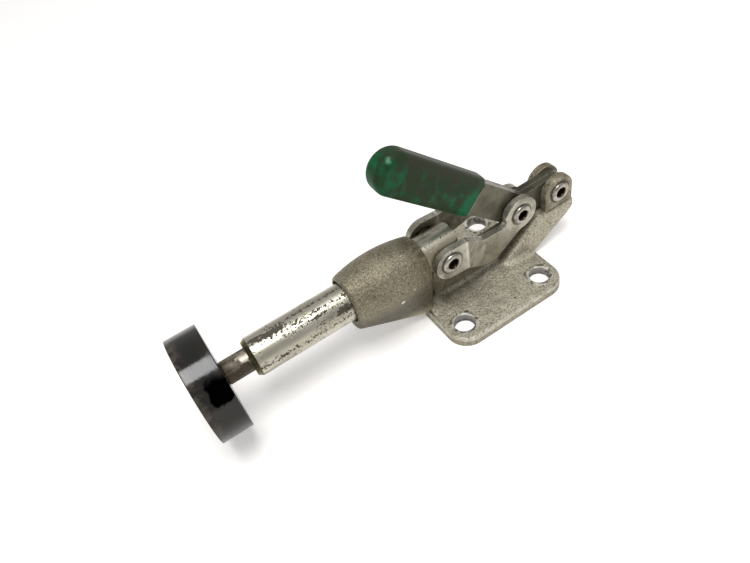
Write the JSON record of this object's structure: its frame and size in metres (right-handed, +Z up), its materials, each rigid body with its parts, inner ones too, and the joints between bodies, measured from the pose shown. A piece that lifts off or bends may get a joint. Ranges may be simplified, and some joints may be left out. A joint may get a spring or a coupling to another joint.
{
  "type": "toggle clamp",
  "caption": "Straight-line push toggle clamp: cast base with four mounting holes, lever with dipped grip, cranked links, round plunger and a broad disc pad on its tip.",
  "frame": {"origin": "centre of the four mounting holes, on the underside of the base", "axes": "+X the way the plunger pushes, +Z up out of the base, +Y to the left seen from behind the handle"},
  "size_m": [0.1747, 0.0602, 0.0849],
  "materials": {
    "cast_base": "rough as-cast, greasy and chipped",
    "rivet_steel": "rolled, worn bright",
    "link_steel": "dull with light tarnish",
    "handle_steel": "dull with brown tarnish",
    "grip_vinyl": "glossy dipped vinyl, worn pale at the root",
    "plunger_plate": "bright plating, pitted and stained",
    "spindle_steel": "dark with brown rust",
    "insert_steel": "plain",
    "pad_black": "satin, scuffed at the rim"
  },
  "bodies": {
    "base": {"body_casting": "cast_base", "rear_rivet": "rivet_steel"},
    "handle": {"handle_plate_near": "handle_steel", "handle_plate_far": "handle_steel", "grip": "grip_vinyl"},
    "links": {"link_near": "link_steel", "link_far": "link_steel", "middle_rivet": "rivet_steel", "front_rivet_near": "rivet_steel", "front_rivet_far": "rivet_steel"},
    "plunger": {"plunger": "plunger_plate", "plunger_cross_pin": "rivet_steel"},
    "spindle": {"spindle": "spindle_steel", "pad_insert": "insert_steel", "pad": "pad_black"}
  },
  "joints": [
    {"name": "handle_swing", "type": "hinge", "parent": "base", "child": "handle", "pos_m": [-0.0437, 0, 0.027], "axis": [0, -1, 0], "range_deg": [0, 72]},
    {"name": "link_swing", "type": "hinge", "parent": "handle", "child": "links", "pos_m": [-0.0232, 0, 0.02685], "axis": [0, -1, 0], "range_deg": [-101.6, 0]},
    {"name": "plunger_slide", "type": "slide", "parent": "base", "child": "plunger", "axis": [1, 0, 0], "range_m": [-0.0178, 0]},
    {"name": "spindle_screw", "type": "slide", "parent": "plunger", "child": "spindle", "axis": [1, 0, 0], "range_m": [0, 0.008]}
  ],
  "couplings": [
    {"joint": "link_swing", "follows": "handle_swing", "ratio": -1.4095},
    {"joint": "plunger_slide", "follows": "handle_swing", "m_per_rad": -0.014111}
  ]
}
